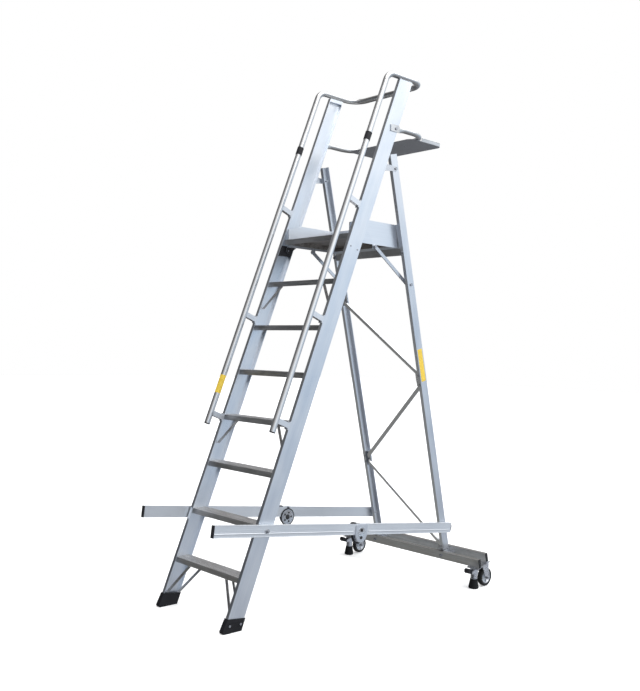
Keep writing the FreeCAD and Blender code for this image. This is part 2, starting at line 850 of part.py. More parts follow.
def platform_bolts():
    """Pins through the side boards that the stays hang on."""
    members = []
    for side in SIDES.values():
        members.append(bolt(side, "board_half", "stay_inner + stay_thick + 0.3",
                            "stay_back", "stay_high"))
    group("platform_bolts", members)


# ---------------------------------------------------------------- rear frame

def leg(side_name, side):
    body = leg_body("leg_" + side_name)
    inner = "(leg_half - leg_flange)"
    start, thick = span(side, inner, "leg_half")
    pad(body, "YZ", box("0", "leg_low", "leg_depth", "leg_high"), start, thick)
    start, thick = span(side, inner, "leg_half - leg_wall")
    hollow = box("leg_wall", "leg_low - 10", "leg_depth - leg_wall", "leg_high + 10")
    cut(body, "YZ", hollow, start, thick)
    start, thick = span(side, "leg_half - leg_wall", "leg_half")
    pins = [("leg_depth / 2", "fold_pin_along"), in_leg_frame("stay_prop_back", "stay_prop_high"),
            in_leg_frame("bar_prop_back", "bar_prop_high")]
    for pin in pins:
        cut(body, "YZ", (pin, "bolt_radius + fit_gap"), start, thick)


def brace(low_x, low_along, high_x, high_along):
    """A flat diagonal between the legs, just behind their front flanges."""
    body = leg_body("Brace", filed=False)
    run = abs(high_x - low_x)
    rise = high_along - low_along
    half = "brace_width / 2 * %.4f" % (math.hypot(run, rise) / run)
    outline = [(str(low_x), "%s - %s" % (low_along, half)), (str(low_x), "%s + %s" % (low_along, half)),
               (str(high_x), "%s + %s" % (high_along, half)),
               (str(high_x), "%s - %s" % (high_along, half))]
    pad(body, "XZ", outline, "leg_wall + 0.2", "brace_thick")
    return body


def braces():
    members = [brace(276, 1280, -276, 1736), brace(-250, 726, 276, 1221), brace(276, 209, -250, 688)]
    group("braces", members)


def leg_gussets():
    """Plates behind the braces' ends, and the saddle plates that tie the legs to the base tubes."""
    members = []
    for side, low, high in ((-1, 1700, 1770), (1, 1210, 1300), (-1, 660, 754), (1, 192, 236)):
        body = leg_body("Gusset", filed=False)
        start, thick = span(side, "gusset_inner", "leg_half - leg_wall")
        outline = box(start, str(low), "%s + %s" % (start, thick), str(high))
        pad(body, "XZ", outline, "leg_wall + brace_thick + 0.4", "3")
        members.append(body)
    for side in SIDES.values():
        for near, far in (("leg_half", "leg_half + saddle_reach"),
                          ("leg_half - leg_flange - saddle_reach", "leg_half - leg_flange")):
            body = leg_body("Saddle", filed=False)
            start, thick = span(side, near, far)
            pad(body, "YZ", box("0", "base_along + 8", "leg_depth", "base_along + 12"), start, thick)
            members.append(body)
    group("leg_gussets", members)


def leg_cross_beam():
    body = leg_body("leg_cross_beam")
    half = "(leg_half - leg_wall)"
    front = "leg_wall"
    low = "beam_along - beam_height / 2"
    high = "beam_along + beam_height / 2"
    pad(body, "YZ", box(front, low, front + " + beam_depth", high), "-" + half, "2 * " + half)
    hollow = box(front + " + 2", low + " + 2", front + " + beam_depth - 2", high + " - 2")
    cut(body, "YZ", hollow, "-" + half, "2 * " + half)


def base_tube(name, front, lift):
    body = leg_body(name)
    low = "base_along + %s - base_height / 2" % lift
    high = "base_along + %s + base_height / 2" % lift
    rear = "%s + base_thick" % front
    pad(body, "YZ", box(front, low, rear, high), "-base_half", "2 * base_half")
    hollow = box("%s + base_wall" % front, low + " + base_wall", rear + " - base_wall",
                 high + " - base_wall")
    cut(body, "YZ", hollow, "-base_half", "2 * base_half")


def base_tube_caps():
    members = []
    for side in SIDES.values():
        for front, lift in (("-base_thick", "0"), ("leg_depth", "base_rear_lift")):
            body = leg_body("Cap", filed=False)
            low = "base_along + %s - base_height / 2" % lift
            high = "base_along + %s + base_height / 2" % lift
            rear = "%s + base_thick" % front
            start, thick = span(side, "base_half", "base_half + 4")
            pad(body, "YZ", box(front, low, rear, high), start, thick)
            inset = "(base_wall + 0.1)"
            plug = box("%s + %s" % (front, inset), "%s + %s" % (low, inset),
                       "%s - %s" % (rear, inset), "%s - %s" % (high, inset))
            start, thick = span(side, "base_half - 20", "base_half")
            pad(body, "YZ", plug, start, thick)
            members.append(body)
    group("base_tube_caps", members)


def castor_plates():
    """Plates under both base tubes, with a spacer below the rear one, for a castor and a lock."""
    members = []
    for side in SIDES.values():
        body = leg_body("Plate", filed=False)
        high = "base_along - base_height / 2"
        start, thick = span(side, "plate_inner", "base_half + 4")
        pad(body, "YZ", box("plate_front", high + " - plate_thick", "plate_rear", high), start, thick)
        spacer = box("leg_depth", high, "leg_depth + base_thick", high + " + base_rear_lift")
        pad(body, "YZ", spacer, start, thick)
        members.append(body)
    group("castor_plates", members)


def castor_forks():
    """Rigid forks: a crown under the plate and a cheek on each side of the wheel."""
    members = []
    deep, along = in_leg_frame("wheel_back", "wheel_high")
    high = "(base_along - base_height / 2 - plate_thick)"
    for side in SIDES.values():
        body = leg_body("Fork", filed=False)
        start, thick = span(side, "wheel_across - 21", "wheel_across + 21")
        crown = box(deep + " - 28", high + " - 3", deep + " + 28", high)
        pad(body, "YZ", crown, start, thick)
        cheek = [(deep + " - 28", high), (deep + " - 28", high + " - 20"),
                 (deep + " - 15", along + " - 4"), (deep + " - 6", along + " - 14"),
                 (deep + " + 6", along + " - 14"), (deep + " + 15", along + " - 4"),
                 (deep + " + 28", high + " - 20"), (deep + " + 28", high)]
        for near, far in (("wheel_across - 21", "wheel_across - 18"),
                          ("wheel_across + 18", "wheel_across + 21")):
            start, thick = span(side, near, far)
            pad(body, "YZ", cheek, start, thick)
            cut(body, "YZ", ((deep, along), "bolt_radius + fit_gap"), start, thick)
        members.append(body)
    group("castor_forks", members)


def frame_bolts():
    """Axles, pins and bolt heads that belong to the rear frame."""
    members = []
    for side in SIDES.values():
        members.append(bolt(side, "wheel_across - 24", "wheel_across + 21",
                            "wheel_back", "wheel_high"))
        members.append(rod("Pin", side, "leg_half - 16", "bar_inner - 0.6",
                           "bar_prop_back", "bar_prop_high", "bolt_radius"))
        members.append(bolt(side, "stay_inner + stay_thick + 0.6", "leg_half",
                            "stay_prop_back", "stay_prop_high"))
        for along in ("base_along", "beam_along"):
            body = leg_body("Head", filed=False)
            centre = ("%d * (leg_half - leg_flange / 2)" % side, along)
            deep = "-base_thick - head_height" if along == "base_along" else "-head_height"
            pad(body, "XZ", (centre, "head_radius - 1"), deep, "head_height")
            members.append(body)
    group("frame_bolts", members)


# ---------------------------------------------------------------- castors and floor locks

def wheel(side_name, side):
    """A tyre round a hub, which turns on the fork's axle."""
    hub = new_body("hub_" + side_name, y="wheel_back", z="wheel_high")
    half = "wheel_width / 2"
    start, thick = span(side, "wheel_across - %s" % half, "wheel_across + %s" % half)
    centre = ("0", "0")
    pad(hub, "YZ", (centre, "hub_radius"), start + " + 4", thick + " - 8")
    pad(hub, "YZ", (centre, "13"), start + " - 2", thick + " + 4")
    cut(hub, "YZ", (centre, "hub_bore"), start + " - 2", thick + " + 4")
    tyre = new_body("tyre_" + side_name, y="wheel_back", z="wheel_high")
    pad(tyre, "YZ", (centre, "wheel_radius"), start, thick)
    cut(tyre, "YZ", (centre, "hub_radius"), start, thick)
    DOC.recompute()
    rims = ["Edge%d" % number for number, edge in enumerate(tyre.Tip.Shape.Edges, start=1)
            if hasattr(edge.Curve, "Radius") and edge.Curve.Radius > sized("wheel_radius") - 1]
    crown = tyre.newObject("PartDesign::Fillet", "Fillet")
    crown.Base = (tyre.Group[-2], rims)
    crown.Radius = 6


def floor_lock(side_name, side):
    """A rubber foot on a stem that slides up into its housing, and the pedal that drives it."""
    across = "%d * lock_across" % side
    foot = new_body("lock_foot_" + side_name, x=across, y="lock_back")
    profile = [("0", "0"), ("foot_radius - 4", "0"), ("foot_radius", "5"), ("foot_radius - 1", "13"),
               ("foot_neck + 2", "foot_height - 14"), ("foot_neck", "foot_height"),
               ("0", "foot_height")]
    turn(foot, profile)
    stem = new_body("lock_stem_" + side_name, x=across, y="lock_back")
    turn(stem, [("0", "foot_height"), ("stem_radius", "foot_height"), ("stem_radius", "stem_top - 2"),
                ("stem_radius - 2", "stem_top"), ("0", "stem_top")])
    pedal = new_body("lock_pedal_" + side_name, x=across)
    half = "pedal_width / 2"
    toe_back = "pedal_back - pedal_length"
    outline = [("pedal_back + 7", "pedal_high - 6"), ("pedal_back + 7", "pedal_high + 5"),
               ("pedal_back - 2", "pedal_high + 12"), (toe_back + " + 6", "pedal_high + 28"),
               (toe_back, "pedal_high + 24"), (toe_back, "pedal_high + 9"),
               ("pedal_back - 6", "pedal_high - 8")]
    pad(pedal, "YZ", outline, "-" + half, "pedal_width")
    cut(pedal, "YZ", (("pedal_back", "pedal_high"), "4 + fit_gap"), "-" + half, "pedal_width")


def turn(body, profile):
    """Revolve a half outline about the body's own Z axis."""
    sketch = start_sketch(body, "XZ", "0")
    draw_outline(sketch, profile)
    feature = body.newObject("PartDesign::Revolution", "Turn")
    feature.Profile = sketch
    feature.ReferenceAxis = (sketch, ["V_Axis"])
    feature.Angle = 360


def lock_housings():
    """Guides for the floor locks' stems, each with two ears and a pin for the pedal."""
    members = []
    for side in SIDES.values():
        body = new_body("Housing", x="%d * lock_across" % side, filed=False)
        centre = ("0", "lock_back")
        height = "housing_high - housing_low"
        pad(body, "XY", (centre, "housing_radius"), "housing_low", height)
        for near in ("-pedal_width / 2 - 4", "pedal_width / 2 + 0.5"):
            ear = box("pedal_back - 8", "pedal_high - 8", "lock_back", "pedal_high + 8")
            pad(body, "YZ", ear, near, "3.5")
        pad(body, "XY", (centre, "housing_radius - 8"), "housing_high", "3")
        hollow = (centre, "stem_radius + 0.4")
        cut(body, "XY", hollow, "housing_low - 1", "stem_top + 16 - housing_low")
        pin = (("pedal_back", "pedal_high"), "4")
        pad(body, "YZ", pin, "-pedal_width / 2 - 6", "pedal_width + 12")
        members.append(body)
    group("lock_housings", members)


# ---------------------------------------------------------------- folding side bars

def bar_point(along, aside, pivot=("bar_pin_back", "bar_pin_high")):
    """A point on the side bars: along their length from a pivot, and square to it."""
    back = "%s + (%s) * cos(bar_slope) + (%s) * sin(bar_slope)" % (pivot[0], along, aside)
    high = "%s - (%s) * sin(bar_slope) + (%s) * cos(bar_slope)" % (pivot[1], along, aside)
    return back, high


def bar_box(low_along, high_along, inset="0"):
    half = "(bar_height / 2 - %s)" % inset
    return [bar_point(low_along, "-" + half), bar_point(high_along, "-" + half),
            bar_point(high_along, half), bar_point(low_along, half)]


def along_bar(back, high):
    """How far along the side bars a point is, measured from their pin on the stile."""
    return "((%s - bar_pin_back) * cos(bar_slope) - (%s - bar_pin_high) * sin(bar_slope))" % (back, high)


def bar_tube(name, side, low_along, high_along):
    """One half of a side bar: a flat box section with three ribs along its outer face."""
    body = new_body(name)
    start, thick = span(side, "bar_inner", "bar_outer")
    pad(body, "YZ", bar_box(low_along, high_along), start, thick)
    start, thick = span(side, "bar_inner + bar_wall", "bar_outer - bar_wall")
    cut(body, "YZ", bar_box(low_along, high_along, "bar_wall"), start, thick)
    start, thick = span(side, "bar_outer - 1", "bar_outer")
    for aside in (-14, -2, 10):
        rib = [bar_point(low_along, str(aside)), bar_point(high_along, str(aside)),
               bar_point(high_along, "%d + 2.5" % aside), bar_point(low_along, "%d + 2.5" % aside)]
        cut(body, "YZ", rib, start, thick)
    return body


def side_bar(side_name, side):
    """A bar that folds at its knuckle: one half pivots on the stile, the other reaches the leg."""
    split = along_bar("knuckle_back", "knuckle_high")
    end = along_bar("bar_prop_back", "bar_prop_high") + " + bar_rear_reach"
    front = bar_tube("front_bar_" + side_name, side, "-bar_front_reach", split + " - knuckle_gap")
    start, thick = span(side, "bar_inner", "bar_outer")
    hole = (bar_point("0", "0"), "bolt_radius + fit_gap")
    cut(front, "YZ", hole, start, thick)
    bar_tube("rear_bar_" + side_name, side, split + " + knuckle_gap", end)

    cap = new_body("bar_cap_" + side_name)
    pad(cap, "YZ", bar_box("-bar_front_reach - 6", "-bar_front_reach"), start, thick)
    start, thick = span(side, "bar_inner + bar_wall + 0.1", "bar_outer - bar_wall - 0.1")
    plug = bar_box("-bar_front_reach", "-bar_front_reach + 20", "(bar_wall + 0.1)")
    pad(cap, "YZ", plug, start, thick)

    knuckle = ("knuckle_back", "knuckle_high")
    plate = new_body("knuckle_plate_" + side_name)
    start, thick = span(side, "bar_outer + knuckle_play", "bar_outer + 3.5")
    pad(plate, "YZ", (knuckle, "knuckle_radius"), start, thick)
    start, thick = span(side, "bar_outer + 3.5", "bar_outer + 8")
    pad(plate, "YZ", (knuckle, "11"), start, thick)
    start, thick = span(side, "bar_inner - 4", "bar_outer + knuckle_play")
    pad(plate, "YZ", (knuckle, "bolt_radius"), start, thick)
    ring = new_body("knuckle_ring_" + side_name)
    start, thick = span(side, "bar_inner - 3.2", "bar_inner - knuckle_play")
    pad(ring, "YZ", (knuckle, "knuckle_radius + 2"), start, thick)
    cut(ring, "YZ", (knuckle, "bolt_radius + fit_gap"), start, thick)


# ---------------------------------------------------------------- assembly

def build():
    for side_name, side in SIDES.items():
        stile(side_name, side)
        handrail(side_name, side)
        leg(side_name, side)
        platform_stay(side_name, side)
        wheel(side_name, side)
        floor_lock(side_name, side)
        side_bar(side_name, side)
    for number in range(1, TREADS + 1):
        tread(number)
    stile_shoes()
    tread_stays()
    stile_caps()
    platform_bearing_blocks()
    handrail_plugs()
    rail_sleeves()
    handrail_brackets()
    guard_rail()
    knee_rail()
    tray()
    leg_pivot_brackets()
    ladder_bolts()
    platform_deck()
    platform_toe_boards()
    platform_bolts()
    braces()
    leg_gussets()
    leg_cross_beam()
    base_tube("base_tube_front", "-base_thick", "0")
    base_tube("base_tube_rear", "leg_depth", "base_rear_lift")
    base_tube_caps()
    castor_plates()
    castor_forks()
    frame_bolts()
    lock_housings()


def check():
    """Stop on any failed object, empty pocket or bad solid."""
    for item in DOC.Objects:
        if "Invalid" in item.State or "Error" in item.State:
            raise RuntimeError("%s failed: %s" % (item.Name, item.State))
        if item.TypeId == "PartDesign::Pocket" and item.BaseFeature:
            if item.Shape.Volume >= item.BaseFeature.Shape.Volume - 0.01:
                raise RuntimeError("%s cuts nothing" % item.Name)
    for name, item in NODES.items():
        if item.Shape.isNull() or not item.Shape.isValid() or not item.Shape.Solids:
            raise RuntimeError("%s has no valid shape" % name)


def export():
    os.makedirs("parts", exist_ok=True)
    for name, item in NODES.items():
        item.Shape.exportStep("parts/%s.step" % name)


fill_sheet()
build()
DOC.recompute()
check()
export()
print(len(NODES), "sub-parts")
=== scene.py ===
"""Looks, light and camera for the folding platform ladder, in metres and in the CAD model's frame."""
import json
import math

import bmesh
import bpy
from mathutils import Matrix, Vector


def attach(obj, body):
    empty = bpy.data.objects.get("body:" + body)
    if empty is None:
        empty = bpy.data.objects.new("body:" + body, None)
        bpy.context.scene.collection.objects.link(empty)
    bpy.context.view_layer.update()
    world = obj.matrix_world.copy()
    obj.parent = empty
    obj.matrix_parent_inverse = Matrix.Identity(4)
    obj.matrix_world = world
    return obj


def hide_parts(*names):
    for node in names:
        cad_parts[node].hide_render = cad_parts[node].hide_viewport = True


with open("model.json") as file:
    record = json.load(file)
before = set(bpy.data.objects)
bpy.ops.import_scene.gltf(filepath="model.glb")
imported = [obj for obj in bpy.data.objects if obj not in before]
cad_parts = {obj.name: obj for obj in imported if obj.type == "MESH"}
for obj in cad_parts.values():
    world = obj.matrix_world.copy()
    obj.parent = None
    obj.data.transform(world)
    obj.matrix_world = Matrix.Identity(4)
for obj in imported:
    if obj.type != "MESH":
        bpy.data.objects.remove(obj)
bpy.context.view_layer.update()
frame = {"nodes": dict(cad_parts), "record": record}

NODES = frame["nodes"]
SIDES = {"left": -1, "right": 1}

MM = 0.001
CLIMB = math.radians(68.75)      # the stiles' angle to the floor
PROP = math.radians(75.58)       # the rear legs' angle to the floor
BAR_SLOPE = math.radians(6.1)    # how far the side bars fall towards the rear
ALONG_STILE = Vector((0, math.cos(CLIMB), math.sin(CLIMB)))
ALONG_LEG = Vector((0, -math.cos(PROP), math.sin(PROP)))
ALONG_BAR = Vector((0, math.cos(BAR_SLOPE), -math.sin(BAR_SLOPE)))
ACROSS = Vector((1, 0, 0))
REARWARD = Vector((0, 1, 0))
UP = Vector((0, 0, 1))
JOINT_AT = {joint["name"]: Vector(joint.get("pos_m") or (0, 0, 0))
            for joint in frame["record"]["behaviour"]["joints"]}

# Distances in millimetres. The stiles' front face meets the floor DATUM in front of the origin, and the legs'
# front face meets it LEG_FOOT behind the origin. The rest are distances from the ladder's middle plane.
DATUM = 854.2
LEG_FOOT = 844.1
STILE_WEB = 288.7
SHOE_FACE = 292.7
LEG_WEB = 284.8
LEG_FLANGE = 274.3
RAIL_ACROSS = 276
BAR_OUTER, BAR_INNER = 315, 296

# The side bars run from the pin on the stile to the pin on the leg, and fold at the knuckle between them.
# Their places along and square to the bar are the same on both sides.
SQUARE_TO_BAR = ALONG_BAR.cross(ACROSS).normalized() * -1
BAR_PIN = JOINT_AT["bar_lift_right"]
LEG_PIN = Vector((0, 0.7915, 0.326))
KNUCKLE_ALONG = (JOINT_AT["bar_fold_right"] - BAR_PIN).dot(ALONG_BAR) / MM
KNUCKLE_ASIDE = (JOINT_AT["bar_fold_right"] - BAR_PIN).dot(SQUARE_TO_BAR) / MM
BAR_REAR_END = (LEG_PIN - BAR_PIN).dot(ALONG_BAR) / MM + 32


# ---------------------------------------------------------------- materials

class Shader:
    """A principled material whose nodes are wired by short calls."""

    def __init__(self, name, along=UP, **values):
        self.material = bpy.data.materials.new(name)
        self.material.use_nodes = True
        self.tree = self.material.node_tree
        self.surface = self.tree.nodes["Principled BSDF"]
        self.turn = UP.rotation_difference(along).to_euler()
        self.place = self.tree.nodes.new("ShaderNodeTexCoord").outputs["Object"]
        for socket, value in values.items():
            self.surface.inputs[socket.replace("_", " ").title()].default_value = value

    def add(self, kind, **settings):
        node = self.tree.nodes.new(kind)
        for key, value in settings.items():
            setattr(node, key, value)
        return node

    def link(self, source, target):
        self.tree.links.new(source, target)

    def noise(self, across, along=None, detail=3):
        """Noise with features this wide, and this long along the material's grain."""
        mapping = self.add("ShaderNodeMapping", vector_type="TEXTURE")
        mapping.inputs["Rotation"].default_value = self.turn
        mapping.inputs["Scale"].default_value = (across, across, along or across)
        texture = self.add("ShaderNodeTexNoise")
        texture.inputs["Scale"].default_value = 1
        texture.inputs["Detail"].default_value = detail
        texture.inputs["Roughness"].default_value = 0.55
        self.link(self.place, mapping.inputs["Vector"])
        self.link(mapping.outputs["Vector"], texture.inputs["Vector"])
        return texture.outputs["Fac"]

    def ramp(self, source, *stops):
        """Colours along a value, from (place, colour) pairs."""
        node = self.add("ShaderNodeValToRGB")
        while len(node.color_ramp.elements) < len(stops):
            node.color_ramp.elements.new(0.5)
        for element, (place, colour) in zip(node.color_ramp.elements, stops):
            element.position = place
            element.color = (*colour, 1)
        self.link(source, node.inputs["Fac"])
        return node.outputs["Color"]

    def span(self, source, low, high, from_low=0.3, from_high=0.7):
        """A value's range between two limits, stretched to run from low to high."""
        node = self.add("ShaderNodeMapRange")
        for socket, value in (("From Min", from_low), ("From Max", from_high),
                              ("To Min", low), ("To Max", high)):
            node.inputs[socket].default_value = value
        self.link(source, node.inputs["Value"])
        return node.outputs["Result"]

    def mix(self, kind, factor, first, second):
        node = self.add("ShaderNodeMix", data_type="RGBA", blend_type=kind)
        for socket, value in ((node.inputs[0], factor), (node.inputs[6], first), (node.inputs[7], second)):
            if isinstance(value, bpy.types.NodeSocket):
                self.link(value, socket)
            else:
                socket.default_value = value
        return node.outputs[2]

    def math(self, kind, first, second):
        node = self.add("ShaderNodeMath", operation=kind)
        for socket, value in zip(node.inputs, (first, second)):
            if isinstance(value, bpy.types.NodeSocket):
                self.link(value, socket)
            else:
                socket.default_value = value
        return node.outputs[0]

    def bump(self, source, depth, strength):
        node = self.add("ShaderNodeBump")
        node.inputs["Strength"].default_value = strength
        node.inputs["Distance"].default_value = depth
        self.link(source, node.inputs["Height"])
        return node.outputs["Normal"]

    def edges(self):
        """How sharply the surface stands out, from 0 to 1."""
        return self.span(self.add("ShaderNodeNewGeometry").outputs["Pointiness"], 0, 1, 0.52, 0.60)

    def finish(self, **sources):
        for socket, source in sources.items():
            self.link(source, self.surface.inputs[socket.replace("_", " ").title()])
        return self.material


def aluminium(name, along, dark, light, rough=(0.28, 0.42), streak=0.004, deep=0.00004, stain=0.18,
              cloud=(0.16, 0.3), dirt=(0.62, 0.62, 0.64), top_shade=0.0):
    """Extruded or drawn aluminium: streaks along the grain, cloudy oxide, bright edges and painted shade on
    the faces that point up.
    """
    s = Shader(name, along, metallic=1.0)
    streaks = s.noise(streak, 1.2, 4)
    fine = s.noise(streak * 0.22, 0.5, 2)
    clouds = s.noise(*cloud, 5)
    base = s.ramp(streaks, (0.3, dark), (0.7, light))
    base = s.mix("MULTIPLY", stain, base, s.ramp(clouds, (0.34, dirt), (0.6, (1, 1, 1))))
    worn = s.mix("MIX", s.math("MULTIPLY", s.edges(), 0.5), base, (0.95, 0.96, 0.98, 1))
    # Painted shade: faces that point upward are mixed towards a dark brownish grey.
    if top_shade:
        facing = s.add("ShaderNodeSeparateXYZ")
        s.link(s.add("ShaderNodeNewGeometry").outputs["Normal"], facing.inputs[0])
        painted_top_shade = s.span(facing.outputs["Z"], 0, top_shade, 0.5, 0.95)
        worn = s.mix("MIX", painted_top_shade, worn, (0.13, 0.125, 0.115, 1))
    gloss = s.math("ADD", s.span(clouds, *rough), s.span(fine, -0.03, 0.05))
    ribs = s.bump(s.math("ADD", s.math("MULTIPLY", streaks, 0.6), fine), deep, 0.7)
    return s.finish(base_color=worn, roughness=gloss, normal=ribs)


def plated(name, dark, light, rough=(0.2, 0.36)):
    """Zinc-plated steel: fine mottling and a slight grain."""
    s = Shader(name, metallic=1.0)
    mottle = s.noise(0.006, detail=5)
    fine = s.noise(0.0012, detail=2)
    base = s.ramp(mottle, (0.32, dark), (0.68, light))
    gloss = s.span(mottle, *rough)
    return s.finish(base_color=base, roughness=gloss, normal=s.bump(fine, 0.00005, 0.5))


def rubber(name, dark, dusty, rough=(0.5, 0.72), grain=0.0015, deep=0.00012):
    """Moulded rubber or plastic: fine grain, scuffed pale along the edges, dusty in patches."""
    s = Shader(name, metallic=0.0)
    s.surface.inputs["Specular IOR Level"].default_value = 0.3
    grains = s.noise(grain, detail=3)
    patches = s.noise(0.035, detail=5)
    base = s.ramp(patches, (0.38, dark), (0.75, dusty))
    scuffed = s.mix("MIX", s.math("MULTIPLY", s.edges(), 0.3), base, (*[2.2 * c for c in dusty], 1))
    gloss = s.span(patches, *rough)
    return s.finish(base_color=scuffed, roughness=gloss, normal=s.bump(grains, deep, 0.8))


def label_film(name):
    """Plain yellow vinyl, slightly faded and scuffed."""
    s = Shader(name, metallic=0.0)
    s.surface.inputs["Coat Weight"].default_value = 0.25
    s.surface.inputs["Coat Roughness"].default_value = 0.3
    fade = s.noise(0.03, detail=4)
    scuff = s.noise(0.004, detail=4)
    base = s.ramp(fade, (0.3, (0.60, 0.41, 0.03)), (0.7, (0.72, 0.52, 0.06)))
    base = s.mix("MULTIPLY", 0.25, base, s.ramp(scuff, (0.42, (0.62, 0.58, 0.45)), (0.56, (1, 1, 1))))
    return s.finish(base_color=base, roughness=s.span(scuff, 0.3, 0.5),
                    normal=s.bump(scuff, 0.00006, 0.4))


PALE, PALER = (0.70, 0.755, 0.83), (0.80, 0.85, 0.92)
# DULLER, the treads' dark tone, is partly brown oxide and partly painted shade for the treads' undersides.
DULL, DULLER = (0.62, 0.595, 0.57), (0.30, 0.27, 0.24)
ROUND_DARK, ROUND_LIGHT = (0.58, 0.58, 0.58), (0.70, 0.70, 0.70)
MATERIALS = {
    "stile": aluminium("stile_aluminium", ALONG_STILE, PALE, PALER, streak=0.009, stain=0.55,
                       cloud=(0.07, 0.22), dirt=(0.66, 0.74, 0.83)),
    "leg": aluminium("leg_aluminium", ALONG_LEG, (0.58, 0.62, 0.68), (0.72, 0.76, 0.82), streak=0.007,
                     stain=0.6, cloud=(0.05, 0.2), dirt=(0.62, 0.66, 0.72)),
    "beam": aluminium("beam_aluminium", ACROSS, (0.62, 0.63, 0.64), (0.72, 0.73, 0.74)),
    "shade": aluminium("shaded_aluminium", ACROSS, (0.17, 0.16, 0.15), (0.27, 0.255, 0.24),
                       rough=(0.45, 0.6)),
    # The base tubes' upward faces carry painted shade.
    "base": aluminium("base_aluminium", ACROSS, (0.66, 0.66, 0.64), (0.86, 0.86, 0.84), rough=(0.48, 0.62),
                      streak=0.007, stain=0.7, cloud=(0.03, 0.14), dirt=(0.50, 0.47, 0.43), top_shade=0.75),
    "board": aluminium("board_aluminium", REARWARD, PALE, PALER),
    # The treads: brown oxide mottling on a darker tone that partly paints the shade of their undersides.
    "tread": aluminium("tread_aluminium", ACROSS, DULLER, DULL, rough=(0.38, 0.55), streak=0.007,
                       stain=0.9, cloud=(0.02, 0.11), dirt=(0.34, 0.28, 0.22)),
    "deck": aluminium("deck_aluminium", ACROSS, (0.42, 0.40, 0.38), DULL, rough=(0.38, 0.55), streak=0.007,
                      stain=0.7, cloud=(0.03, 0.14), dirt=(0.50, 0.47, 0.44)),
    "rail": aluminium("rail_aluminium", ALONG_STILE, ROUND_DARK, ROUND_LIGHT,
                      rough=(0.26, 0.4), streak=0.0025),
    "guard": aluminium("guard_aluminium", REARWARD, ROUND_DARK, ROUND_LIGHT,
                       rough=(0.26, 0.4), streak=0.0025),
    "cast": aluminium("cast_aluminium", ACROSS, (0.72, 0.75, 0.80), (0.82, 0.85, 0.90),
                      rough=(0.36, 0.5), streak=0.006, stain=0.1),
    # Painted shade: the tray's sheet is darkened all over to the grey of its shaded underside.
    "sheet": aluminium("sheet_aluminium", ACROSS, (0.34, 0.355, 0.365), (0.43, 0.445, 0.455),
                       rough=(0.38, 0.52), stain=0.3),
    "bar": aluminium("bar_aluminium", ALONG_BAR, (0.88, 0.91, 0.95), (0.95, 0.97, 0.99), rough=(0.36, 0.5)),
    "zinc": plated("zinc_steel", (0.62, 0.63, 0.66), (0.78, 0.79, 0.82)),
    "bolt": plated("bolt_steel", (0.40, 0.41, 0.44), (0.58, 0.59, 0.62), rough=(0.25, 0.4)),
    "hub": plated("wheel_hub", (0.70, 0.72, 0.75), (0.84, 0.86, 0.89), rough=(0.22, 0.34)),
    "tyre": rubber("wheel_tyre", (0.007, 0.007, 0.008), (0.026, 0.026, 0.025)),
    "rubber": rubber("black_rubber", (0.0025, 0.0025, 0.004), (0.009, 0.009, 0.011)),
    # Painted shade: near black, for the knuckle's bolt heads and studs so they read as shaded recesses.
    "recess_shade": rubber("painted_recess_shade", (0.012, 0.012, 0.014), (0.03, 0.03, 0.032)),
    "plastic": rubber("black_plastic", (0.005, 0.005, 0.007), (0.014, 0.014, 0.016),
                      rough=(0.38, 0.55), grain=0.0009, deep=0.00007),
    "label": label_film("yellow_label"),
}

FINISHES = [
    ("stile_left", "stile"), ("stile_right", "stile"), ("stile_caps", "stile"), ("stile_shoes", "rubber"),
    ("tread_stays", "tread"), ("tread_", "tread"), ("leg_cross_beam", "shade"), ("leg_pivot", "zinc"),
    ("leg_gussets", "zinc"), ("leg_", "leg"), ("braces", "beam"), ("base_tube_caps", "plastic"),
    ("base_tube", "base"), ("platform_toe", "board"), ("platform_deck", "deck"),
    ("platform_stay", "zinc"), ("platform_bolts", "bolt"), ("platform_bearing", "plastic"),
    ("handrail_left", "rail"), ("handrail_right", "rail"), ("handrail_brackets", "cast"),
    ("handrail_plugs", "plastic"), ("rail_sleeves", "plastic"), ("guard_rail", "guard"),
    # The tray gets the darkened sheet, which is painted shade.
    ("knee_rail", "guard"), ("tray", "sheet"), ("front_bar", "bar"), ("rear_bar", "bar"),
    ("bar_cap", "plastic"), ("knuckle_plate", "zinc"), ("knuckle_ring", "plastic"),
    ("castor", "zinc"), ("hub", "hub"), ("tyre", "tyre"), ("lock_foot", "rubber"),
    ("lock_stem", "zinc"), ("lock_housings", "zinc"), ("lock_pedal", "plastic"),
    ("ladder_bolts", "bolt"), ("frame_bolts", "bolt"),
]


def finish_for(node):
    return next(MATERIALS[finish] for start, finish in FINISHES if node.startswith(start))


def paint(thing, material):
    thing.data.materials.clear()
    thing.data.materials.append(material)


def soften(thing, width):
    """Small rounds along the sharp edges, which catch the light."""
    bevel = thing.modifiers.new("soften", "BEVEL")
    bevel.width = width * MM
    bevel.segments = 2
    bevel.limit_method = "ANGLE"
    bevel.angle_limit = math.radians(50)
    bevel.use_clamp_overlap = True


ROUND_NODES = ("hub", "tyre", "handrail", "guard", "knee", "lock_foot", "lock_stem", "rail_sleeves")
for name, thing in NODES.items():
    if thing.material_slots:
        for held in thing.material_slots:
            held.material = finish_for(name)
    else:
        thing.data.materials.append(finish_for(name))
    if not name.startswith(ROUND_NODES):
        soften(thing, 0.35 if name.startswith("tread_") else 0.7)


# ---------------------------------------------------------------- mesh builders

def extrude(bm, outline, sweep):
    """A solid from a flat outline of points in metres, swept along a vector."""
    near = [bm.verts.new(point) for point in outline]
    far = [bm.verts.new(point + sweep) for point in outline]
    bm.faces.new(near)
    bm.faces.new(list(reversed(far)))
    for index in range(len(outline)):
        following = (index + 1) % len(outline)
        bm.faces.new((near[following], near[index], far[index], far[following]))


